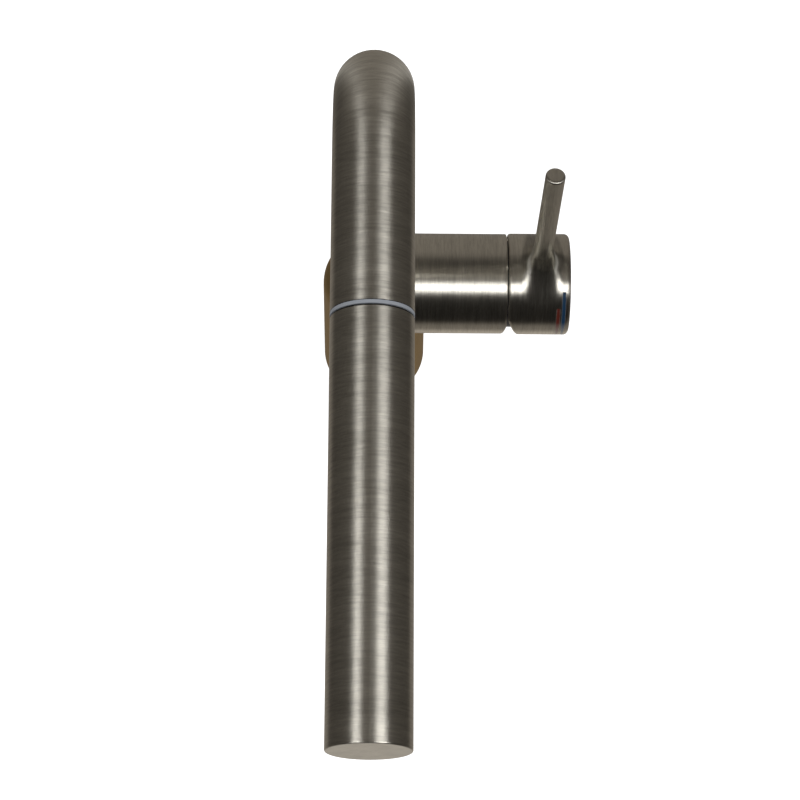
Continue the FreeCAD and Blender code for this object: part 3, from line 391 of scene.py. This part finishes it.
def paint_seam_shadow(tree, shader, axis, edge, width):
    """Painted shadow line: darkens the colour where a brushed piece meets its neighbour, standing in for the
    shade in the gap.
    """
    along = separate(tree, object_place(tree))["XYZ".index(axis)]
    away = calc(tree, "ABSOLUTE", calc(tree, "SUBTRACT", along, edge))
    shade = remap(tree, away, width * 0.6, width, 0.05, 1.0, smooth=True)
    socket = shader.inputs["Base Color"]
    colour = socket.links[0].from_socket
    tree.links.new(blend_colour(tree, 1.0, colour, combine(tree, shade, shade, shade), "MULTIPLY"), socket)


def lever_metal(group, colour, roughness, density):
    """Brushed cap and rod, with the wide soft flare where the rod grows out of the cap's front."""
    material, tree, shader = new_material("Nickel lever", metallic=1.0, anisotropic=BRUSH_STRETCH)
    away = vector_calc(tree, "SUBTRACT", object_place(tree), tuple(LEVER_FOOT))
    climb = add_node(tree, "ShaderNodeVectorMath", operation="DOT_PRODUCT")
    tree.links.new(away, climb.inputs[0])
    climb.inputs[1].default_value = LEVER_LINE
    climb = calc(tree, "MAXIMUM", climb.outputs["Value"], 15 * MM)
    on_line = add_node(tree, "ShaderNodeVectorMath", operation="SCALE")
    on_line.inputs[0].default_value = LEVER_LINE
    tree.links.new(climb, on_line.inputs["Scale"])
    x, y, z = separate(tree, vector_calc(tree, "SUBTRACT", away, on_line.outputs[0]))
    reach = vector_calc(tree, "LENGTH", combine(tree, x, y, z)).node.outputs["Value"]
    near = remap(tree, reach, FLARE_START, FLARE_REACH, 1.0, 0.0)
    flare = calc(tree, "MULTIPLY", calc(tree, "MULTIPLY", near, near), FLARE_RISE)
    for edge, end in FLARE_SIDES:
        flare = calc(tree, "MULTIPLY", flare, remap(tree, x, edge, end, 1.0, 0.0, smooth=True))
    flared = raise_surface(tree, shader, flare, 1.0)
    place = turn_place(tree, "X", (0, 0, HANDLE_AXIS))
    finish_brushed(tree, shader, group, place, colour, roughness, density, flared)
    set_tangent(tree, shader, (1.0, 0.0, 0.0))
    return material


def end_metal(group, colour, roughness, density):
    """End of the spray head: brushed side like the head's, cross-brushed face whose nickel is painted paler
    to stand in for the light it catches.
    """
    material, tree, shader = new_material("Nickel end", metallic=1.0, anisotropic=BRUSH_STRETCH)
    y = separate(tree, object_place(tree))["Y"]
    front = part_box("end_cap")[0].y
    face = remap(tree, y, front + 0.05 * MM, front + 0.12 * MM, 1.0, 0.0)
    place = turn_place(tree, "Y", (0, 0, SPOUT_AXIS))
    tone = blend_colour(tree, face, colour, END_FACE_PAINTED_LIGHT)
    finish_brushed(tree, shader, group, place, tone, roughness, density)
    set_tangent(tree, shader, blend_colour(tree, face, (0.0, 1.0, 0.0), (1.0, 0.0, 0.0)))
    return material


def mark_finish(name, node, colour, start):
    """Enamel line that narrows towards its ends, let into the brushed metal."""
    material, tree, shader = new_material(name, roughness=0.3)
    middle_x, half = middle(node).x, span(node).x / 2
    x, y, z = separate(tree, object_place(tree))
    turn = calc(tree, "ARCTAN2", calc(tree, "MULTIPLY", y, -1.0), calc(tree, "SUBTRACT", z, HANDLE_AXIS))
    begin = remap(tree, turn, start, start + math.radians(12), 0.85, 1.0, smooth=True)
    finish = remap(tree, turn, math.radians(68), math.radians(104), 1.0, 0.55, smooth=True)
    reach = calc(tree, "MULTIPLY", calc(tree, "MINIMUM", begin, finish), half)
    aside = calc(tree, "ABSOLUTE", calc(tree, "SUBTRACT", x, middle_x))
    paint = remap(tree, calc(tree, "DIVIDE", aside, reach), 0.85, 1.05, 1.0, 0.0, smooth=True)
    paint = calc(tree, "MULTIPLY", paint, remap(tree, turn, math.radians(70), math.radians(104), 1.0, 0.55))
    back = remap(tree, turn, math.radians(-10), 0.0, 0.0, 1.0)
    paint = calc(tree, "MULTIPLY", paint, back)
    grain = remap(tree, noise(tree, object_place(tree), 2500.0), 0.3, 0.7, 0.92, 1.08)
    enamel = blend_colour(tree, 1.0, (*colour, 1.0), combine(tree, grain, grain, grain), "MULTIPLY")
    tree.links.new(blend_colour(tree, paint, tuple(finishes().nickel), enamel), shader.inputs["Base Color"])
    tree.links.new(calc(tree, "SUBTRACT", 1.0, paint), shader.inputs["Metallic"])
    return material


def plain_finish(name, group, colour, metallic, roughness, density, contrast, distance=0.00001, coat=0.0):
    """Moulded, cast or plated finish with fine grain."""
    material, tree, shader = new_material(name, metallic=metallic, coat=coat)
    grain = place_group(tree, group, Place=object_place(tree), Colour=colour, Roughness=roughness,
                        Grain_density=density, Contrast=contrast)
    tree.links.new(grain["Colour"], shader.inputs["Base Color"])
    tree.links.new(grain["Roughness"], shader.inputs["Roughness"])
    raise_surface(tree, shader, grain["Height"], distance)
    return material


def dress(node, material):
    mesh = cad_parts[node].data
    mesh.materials.clear()
    mesh.materials.append(material)


def sizes():
    return bpy.context.scene.tap_sizes


def finishes():
    return bpy.context.scene.tap_finishes


def studio():
    return bpy.context.scene.tap_studio


def node_group(name, maker):
    return bpy.data.node_groups.get(name) or maker()


def thread_finish(name, group, colour, axis, centre, pitch):
    """Cut metal thread with darker roots."""
    material, tree, shader = new_material(name, metallic=1.0, roughness=0.3)
    cut = place_group(tree, group, Place=turn_place(tree, axis, centre), Turns_per_metre=1 / pitch)
    wear = remap(tree, noise(tree, object_place(tree), 400.0), 0.3, 0.7, 0.9, 1.1)
    tone = blend_colour(tree, 1.0, (*colour, 1.0), combine(tree, wear, wear, wear), "MULTIPLY")
    dark = tuple(channel * 0.3 for channel in colour)
    tree.links.new(blend_colour(tree, cut["Root"], tone, (*dark, 1.0)), shader.inputs["Base Color"])
    tree.links.new(remap(tree, cut["Root"], 0.0, 1.0, 0.26, 0.55), shader.inputs["Roughness"])
    raise_surface(tree, shader, cut["Height"], pitch * 0.4)
    return material


# Modelled pieces

def deselect():
    bpy.ops.object.select_all(action="DESELECT")


def finish_piece(piece, name, body, material):
    piece.name = name
    piece.data.materials.append(material)
    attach(piece, body)


def thread_ridge(name, centre, radius, start, turns, pitch, rise, material):
    """Helical ridge with closed ends that stands on a threaded round piece of the tap's body."""
    deselect()
    bpy.ops.mesh.primitive_circle_add(vertices=4, radius=rise, fill_type="NOTHING", location=(0, 0, 0))
    piece = bpy.context.object
    bpy.ops.object.mode_set(mode="EDIT")
    bpy.ops.transform.rotate(value=math.pi / 2, orient_axis="X", center_override=(0, 0, 0))
    bpy.ops.transform.resize(value=(1, 1, pitch * 0.46 / rise), center_override=(0, 0, 0))
    bpy.ops.transform.translate(value=(radius, 0, start))
    bpy.ops.object.mode_set(mode="OBJECT")
    screw = piece.modifiers.new("turns", "SCREW")
    screw.axis = "Z"
    screw.angle = math.tau
    screw.screw_offset = pitch
    screw.iterations = turns
    screw.steps = screw.render_steps = 40
    bpy.ops.object.modifier_apply(modifier=screw.name)
    bpy.ops.object.mode_set(mode="EDIT")
    bpy.ops.mesh.select_all(action="SELECT")
    bpy.ops.mesh.fill_holes(sides=4)
    bpy.ops.mesh.select_all(action="SELECT")
    bpy.ops.mesh.normals_make_consistent(inside=False)
    bpy.ops.transform.translate(value=centre)
    bpy.ops.object.mode_set(mode="OBJECT")
    bpy.ops.object.shade_smooth_by_angle(angle=math.radians(25))
    finish_piece(piece, name, "tap_body", material)


# Operators

class TAP_OT_outer_metal(bpy.types.Operator):
    """Brushed nickel on the spout, the spray head, the barrel and the lever"""
    bl_idname = "tap.outer_metal"
    bl_label = "Outer metal"

    def execute(self, context):
        brush = node_group("Brush lines", brush_group)
        colour = tuple(finishes().nickel)
        roughness = finishes().nickel_roughness
        density = 1 / sizes().brush_line

        material, tree, shader = new_material("Nickel spout", metallic=1.0, anisotropic=BRUSH_STRETCH)
        place, direction = spout_place(tree)
        finish_brushed(tree, shader, brush, place, colour, roughness, density)
        set_tangent(tree, shader, direction)
        # Painted shadow line at the tube's mouth
        paint_seam_shadow(tree, shader, "Y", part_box("spout_tube")[0].y, SEAM_SHADOW / 2)
        dress("spout_tube", material)

        head = brushed_metal("Nickel head", brush, colour, roughness, "Y", (0, 0, SPOUT_AXIS), density)
        # Painted shadow line at the head's rear edge, next to the docking ring
        paint_seam_shadow(head.node_tree, head.node_tree.nodes["Principled BSDF"], "Y",
                    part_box("spray_shell")[1].y, SEAM_SHADOW)
        dress("spray_shell", head)
        barrel = brushed_metal("Nickel barrel", brush, colour, roughness, "X", (0, 0, HANDLE_AXIS), density)
        dress("barrel_sleeve", barrel)
        dress("lever_handle", lever_metal(brush, colour, roughness, density))
        dress("end_cap", end_metal(brush, colour, roughness, density))
        nozzle = brushed_metal("Nickel nozzle", brush, colour, roughness, "Z", OUTLET, density)
        dress("nozzle_ring", nozzle)
        return {"FINISHED"}


class TAP_OT_valve_body(bpy.types.Operator):
    """Satin brass on the valve body"""
    bl_idname = "tap.valve_body"
    bl_label = "Valve body"

    def execute(self, context):
        brush = node_group("Brush lines", brush_group)
        colour = tuple(finishes().brass)
        brass = brushed_metal("Brass body", brush, colour, 0.42, "Z", (0, 0, 0), 1 / sizes().brush_line,
                              anisotropic=0.5)
        dress("valve_body", brass)
        return {"FINISHED"}


class TAP_OT_small_pieces(bpy.types.Operator):
    """Finishes of the hidden and the small pieces"""
    bl_idname = "tap.small_pieces"
    bl_label = "Small pieces"

    def execute(self, context):
        mould = node_group("Moulded surface", mould_group)
        look = {
            "Machined brass": (CUT_BRASS, 1.0, 0.30, 900, 0.12, 0.0),
            "Zinc steel": (ZINC, 1.0, 0.34, 1100, 0.12, 0.0),
            "Black rubber": ((0.02, 0.02, 0.02), 0.0, 0.65, 2500, 0.10, 0.0),
            "Dock ring": (tuple(finishes().ring), 0.0, 0.42, 1800, 0.05, 0.0),
            "Dark plastic and slit shade": ((0.06, 0.06, 0.065), 0.0, 0.45, 1800, 0.08, 0.0),
            "Cartridge plastic": ((0.45, 0.47, 0.50), 0.0, 0.40, 1800, 0.08, 0.0),
            "Ceramic": ((0.82, 0.80, 0.76), 0.0, 0.12, 2500, 0.04, 0.3),
        }
        wearers = {
            "Machined brass": ("lock_nut", "cartridge_nut", "spout_insert"),
            "Zinc steel": ("steel_washer", "lock_screw", "pivot_pin", "stem", "set_screw"),
            "Black rubber": ("base_gasket", "rubber_washer", "seat_gasket", "insert_o_ring", "plug_o_ring",
                             "aerator_seal"),
            "Dock ring": ("dock_ring", "docking_plug", "glide_washer", "aerator_body"),
            "Dark plastic and slit shade": ("check_valve", "waterway_tube", "waterway_elbow", "aerator_screen", "screw_plug",
                             # The trim ring wears the dark plastic so the slit behind the spray head is dark:
                             # painted shade in place of its own bright finish
                             "trim_ring"),
            "Cartridge plastic": ("cartridge_body", "rotor"),
            "Ceramic": ("fixed_disc", "moving_disc"),
        }
        for name, (colour, metallic, roughness, density, contrast, coat) in look.items():
            material = plain_finish(name, mould, colour, metallic, roughness, density, contrast, coat=coat)
            for node in wearers[name]:
                dress(node, material)
        dress("cold_mark", mark_finish("Cold enamel", "cold_mark", finishes().cold, math.radians(30)))
        dress("hot_mark", mark_finish("Hot enamel", "hot_mark", finishes().hot, math.radians(50)))
        return {"FINISHED"}


class TAP_OT_threads(bpy.types.Operator):
    """Raised threads on the mounting shank and the jack screws, cut threads on the hose connector"""
    bl_idname = "tap.threads"
    bl_label = "Threads"

    def execute(self, context):
        thread = node_group("Screw thread", thread_group)
        mould = node_group("Moulded surface", mould_group)
        pitch = sizes().shank_pitch
        shank = thread_finish("Shank thread", thread, CUT_BRASS, "Z", (0, 0, 0), pitch)
        dress("mounting_shank", shank)
        ridge = plain_finish("Thread brass", mould, CUT_BRASS, 1.0, 0.28, 900, 0.12)
        low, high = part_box("mounting_shank")
        foot = low.z + pitch
        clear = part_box("lock_nut")[0].z - pitch - foot
        thread_ridge("shank_thread", (0, 0, 0), span("mounting_shank").x / 2, foot, int(clear / pitch),
                     pitch, 0.45 * MM, ridge)
        bright = plain_finish("Thread steel", mould, ZINC, 1.0, 0.3, 1100, 0.12)
        fine = sizes().screw_pitch
        for screw in ("jack_screw_1", "jack_screw_2"):
            low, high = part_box(screw)
            centre = (middle(screw).x, middle(screw).y, 0)
            dress(screw, thread_finish(f"Thread {screw}", thread, ZINC, "Z", centre, fine))
            foot = low.z + fine
            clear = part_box("lock_nut")[0].z - fine - foot
            thread_ridge(f"thread_{screw}", centre, span(screw).x / 2, foot, int(clear / fine), fine,
                         0.18 * MM, bright)
        hose = thread_finish("Hose thread", thread, CUT_BRASS, "Y", (0, 0, SPOUT_AXIS), HOSE_PITCH)
        dress("hose_connector", hose)
        return {"FINISHED"}


class TAP_OT_outlet_mesh(bpy.types.Operator):
    """Woven wire mesh inside the outlet's ring"""
    bl_idname = "tap.outlet_mesh"
    bl_label = "Outlet mesh"

    def execute(self, context):
        screen = middle("aerator_screen")
        reach = span("aerator_screen").x / 2 - 0.25 * MM
        step = sizes().mesh_step
        deselect()
        lines = int(2 * reach / step) + 1
        bpy.ops.mesh.primitive_grid_add(x_subdivisions=lines, y_subdivisions=lines, size=lines * step,
                                        location=(0, 0, 0))
        piece = bpy.context.object
        bpy.ops.object.mode_set(mode="EDIT")
        bpy.ops.mesh.select_all(action="DESELECT")
        shape = bmesh.from_edit_mesh(piece.data)
        for corner in shape.verts:
            corner.select_set(corner.co.length > reach - 0.2 * MM)
        bmesh.update_edit_mesh(piece.data)
        bpy.ops.mesh.delete(type="VERT")
        bpy.ops.mesh.select_all(action="SELECT")
        bpy.ops.transform.translate(value=(screen.x, screen.y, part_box("aerator_screen")[0].z - 0.35 * MM))
        bpy.ops.object.mode_set(mode="OBJECT")
        wire = piece.modifiers.new("wire", "WIREFRAME")
        wire.thickness = 0.28 * MM
        wire.use_even_offset = False
        bpy.ops.object.modifier_apply(modifier=wire.name)
        steel = plain_finish("Mesh steel", node_group("Moulded surface", mould_group), (0.5, 0.5, 0.5), 1.0,
                             0.25, 1100, 0.10)
        finish_piece(piece, "outlet_mesh", "spray_head", steel)
        return {"FINISHED"}


# Studio

CAMERA_PLACE = Vector((0.00245, -0.399015, 1.108123))
CAMERA_DOWN = math.radians(71.285)
CAMERA_YAW = math.radians(1.413)
CAMERA_ROLL = math.radians(1.751)
CAMERA_LENS = 2635.187 * 36 / 800
FLOOR_GAP = 0.5 * MM
FLOOR_RADIUS = 1.2
FLOOR_LIFT = 0.78

# Each soft box: its direction from the tap, and the angles that it spans sideways and in depth
BOX_DISTANCE = 1.6
BOX_AIM = Vector((0, -0.05, 0.2))
SOFT_BOXES = {
    "left": (Vector((-0.60, -0.625, 1.0)), 15, 20),
    "right": (Vector((0.585, -0.625, 1.0)), 22, 20),
}

# Brightness of the plain fill, and of the parts of the room that only reflections see
FILL = 0.42
ROOM_TINT = (1.0, 0.91, 0.80)
DARK_FRONT = 0.013
SIDE_WALLS = 0.062
BACK_WALL = 0.20
OVERHEAD = 0.10
TABLE_EDGE = 0.20
TABLE_UNDER = 0.46


def light_rays(tree):
    rays = add_node(tree, "ShaderNodeLightPath")
    seen = calc(tree, "MAXIMUM", rays.outputs["Is Camera Ray"], rays.outputs["Is Transmission Ray"])
    return seen, rays.outputs["Is Glossy Ray"]


def studio_world(level):
    """White background, a plain fill, and the dim room that the metal shows."""
    world = bpy.data.worlds.new("Studio")
    bpy.context.scene.world = world
    world.use_nodes = True
    tree = world.node_tree
    tree.nodes.clear()
    seen, glossy = light_rays(tree)
    x, y, z = separate(tree, add_node(tree, "ShaderNodeTexCoord").outputs["Generated"])
    front = remap(tree, y, -0.75, -0.2, DARK_FRONT, SIDE_WALLS, smooth=True)
    back = remap(tree, y, 0.35, 0.85, 0.0, BACK_WALL, smooth=True)
    overhead = calc(tree, "MULTIPLY", remap(tree, y, -0.35, -0.05, 0.0, OVERHEAD, smooth=True),
                    remap(tree, y, 0.05, 0.35, 1.0, 0.0, smooth=True))
    overhead = calc(tree, "MULTIPLY", overhead, remap(tree, z, 0.5, 0.85, 0.0, 1.0, smooth=True))
    table = calc(tree, "ADD", remap(tree, z, -0.75, -0.45, TABLE_EDGE, 0.0, smooth=True),
                 remap(tree, z, -1.0, -0.85, TABLE_UNDER - TABLE_EDGE, 0.0, smooth=True))
    wall = calc(tree, "MAXIMUM", calc(tree, "ADD", front, overhead), calc(tree, "MAXIMUM", back, table))
    wall = calc(tree, "MULTIPLY", wall, level)
    tinted = blend_colour(tree, 1.0, combine(tree, wall, wall, wall), ROOM_TINT, "MULTIPLY")
    colour = blend_colour(tree, glossy, (FILL, FILL, FILL), tinted)
    colour = blend_colour(tree, seen, colour, (1.0, 1.0, 1.0))
    background = add_node(tree, "ShaderNodeBackground")
    tree.links.new(colour, background.inputs["Color"])
    output = add_node(tree, "ShaderNodeOutputWorld")
    tree.links.new(background.outputs[0], output.inputs["Surface"])


def studio_floor():
    """Round pale table that stays white in the picture but keeps the tap's soft shadow.

    The metal sees through it to the world's own dim table.
    """
    deselect()
    height = CAD_BOX[0][2] - FLOOR_GAP
    bpy.ops.mesh.primitive_circle_add(vertices=128, radius=FLOOR_RADIUS, fill_type="NGON",
                                      location=(0, 0, height))
    floor = bpy.context.object
    floor.name = "studio_floor"
    material, tree, shader = new_material("Pale floor", roughness=0.9)
    seen, glossy = light_rays(tree)
    grain = noise(tree, object_place(tree), 40.0)
    tone = remap(tree, grain, 0.0, 1.0, 0.79, 0.81)
    tree.links.new(combine(tree, tone, tone, tone), shader.inputs["Base Color"])
    lift = add_node(tree, "ShaderNodeEmission")
    lift.inputs["Strength"].default_value = FLOOR_LIFT
    added = add_node(tree, "ShaderNodeAddShader")
    tree.links.new(shader.outputs[0], added.inputs[0])
    tree.links.new(lift.outputs[0], added.inputs[1])
    bounced = add_node(tree, "ShaderNodeMixShader")
    tree.links.new(glossy, bounced.inputs["Fac"])
    tree.links.new(shader.outputs[0], bounced.inputs[1])
    tree.links.new(add_node(tree, "ShaderNodeBsdfTransparent").outputs[0], bounced.inputs[2])
    chosen = add_node(tree, "ShaderNodeMixShader")
    tree.links.new(seen, chosen.inputs["Fac"])
    tree.links.new(bounced.outputs[0], chosen.inputs[1])
    tree.links.new(added.outputs[0], chosen.inputs[2])
    tree.links.new(chosen.outputs[0], tree.nodes["Material Output"].inputs["Surface"])
    floor.data.materials.append(material)


def soft_box(name, direction, wide, deep, level):
    """Rectangular lamp that faces the tap and spans the given angles."""
    direction = direction.normalized()
    lamp = bpy.data.lights.new(f"soft_box_{name}", "AREA")
    lamp.shape = "RECTANGLE"
    lamp.size = 2 * BOX_DISTANCE * math.tan(math.radians(wide / 2))
    lamp.size_y = 2 * BOX_DISTANCE * math.tan(math.radians(deep / 2))
    lamp.energy = level * math.pi * lamp.size * lamp.size_y
    holder = bpy.data.objects.new(lamp.name, lamp)
    bpy.context.scene.collection.objects.link(holder)
    side = Vector((0, 1, 0)).cross(direction).normalized()
    up = direction.cross(side)
    turn = Matrix((side, up, direction)).transposed().to_4x4()
    holder.matrix_world = Matrix.Translation(direction * BOX_DISTANCE + BOX_AIM) @ turn


def photo_camera():
    camera = bpy.data.cameras.new("photo_camera")
    camera.lens = CAMERA_LENS
    camera.sensor_width = 36
    camera.clip_end = 20
    holder = bpy.data.objects.new("photo_camera", camera)
    bpy.context.scene.collection.objects.link(holder)
    ahead = Vector((math.sin(CAMERA_YAW) * math.cos(CAMERA_DOWN),
                    math.cos(CAMERA_YAW) * math.cos(CAMERA_DOWN), -math.sin(CAMERA_DOWN)))
    side = Vector((math.cos(CAMERA_YAW), -math.sin(CAMERA_YAW), 0))
    up = side.cross(ahead)
    side, up = (side * math.cos(CAMERA_ROLL) + up * math.sin(CAMERA_ROLL),
                up * math.cos(CAMERA_ROLL) - side * math.sin(CAMERA_ROLL))
    turn = Matrix((side, up, -ahead)).transposed().to_4x4()
    holder.matrix_world = Matrix.Translation(CAMERA_PLACE) @ turn
    bpy.context.scene.camera = holder


class TAP_OT_studio(bpy.types.Operator):
    """Pale floor, soft boxes, white background and the photograph's camera"""
    bl_idname = "tap.studio"
    bl_label = "Studio"

    def execute(self, context):
        settings = studio()
        studio_world(settings.wall_level)
        studio_floor()
        for name, (direction, wide, deep) in SOFT_BOXES.items():
            soft_box(name, direction, wide, deep, settings.lamp_level)
        photo_camera()
        context.scene.view_settings.view_transform = "Standard"
        return {"FINISHED"}


STEPS = ("outer_metal", "valve_body", "small_pieces", "threads", "outlet_mesh", "studio")


class TAP_PT_panel(bpy.types.Panel):
    bl_idname = "TAP_PT_panel"
    bl_label = "Kitchen Tap"
    bl_space_type = "VIEW_3D"
    bl_region_type = "UI"
    bl_category = "Kitchen Tap"

    def draw(self, context):
        layout = self.layout
        for group in (context.scene.tap_sizes, context.scene.tap_finishes, context.scene.tap_studio):
            box = layout.box()
            for name in group.__annotations__:
                box.prop(group, name)
        for step in STEPS:
            layout.operator(f"tap.{step}")


CLASSES = (TapSizes, TapFinishes, TapStudio, TAP_OT_outer_metal, TAP_OT_valve_body, TAP_OT_small_pieces,
           TAP_OT_threads, TAP_OT_outlet_mesh, TAP_OT_studio, TAP_PT_panel)


def register():
    for item in CLASSES:
        bpy.utils.register_class(item)
    bpy.types.Scene.tap_sizes = bpy.props.PointerProperty(type=TapSizes)
    bpy.types.Scene.tap_finishes = bpy.props.PointerProperty(type=TapFinishes)
    bpy.types.Scene.tap_studio = bpy.props.PointerProperty(type=TapStudio)


def unregister():
    del bpy.types.Scene.tap_studio
    del bpy.types.Scene.tap_finishes
    del bpy.types.Scene.tap_sizes
    for item in reversed(CLASSES):
        bpy.utils.unregister_class(item)


def main():
    register()
    for step in STEPS:
        getattr(bpy.ops.tap, step)()


if __name__ == "__main__":
    main()
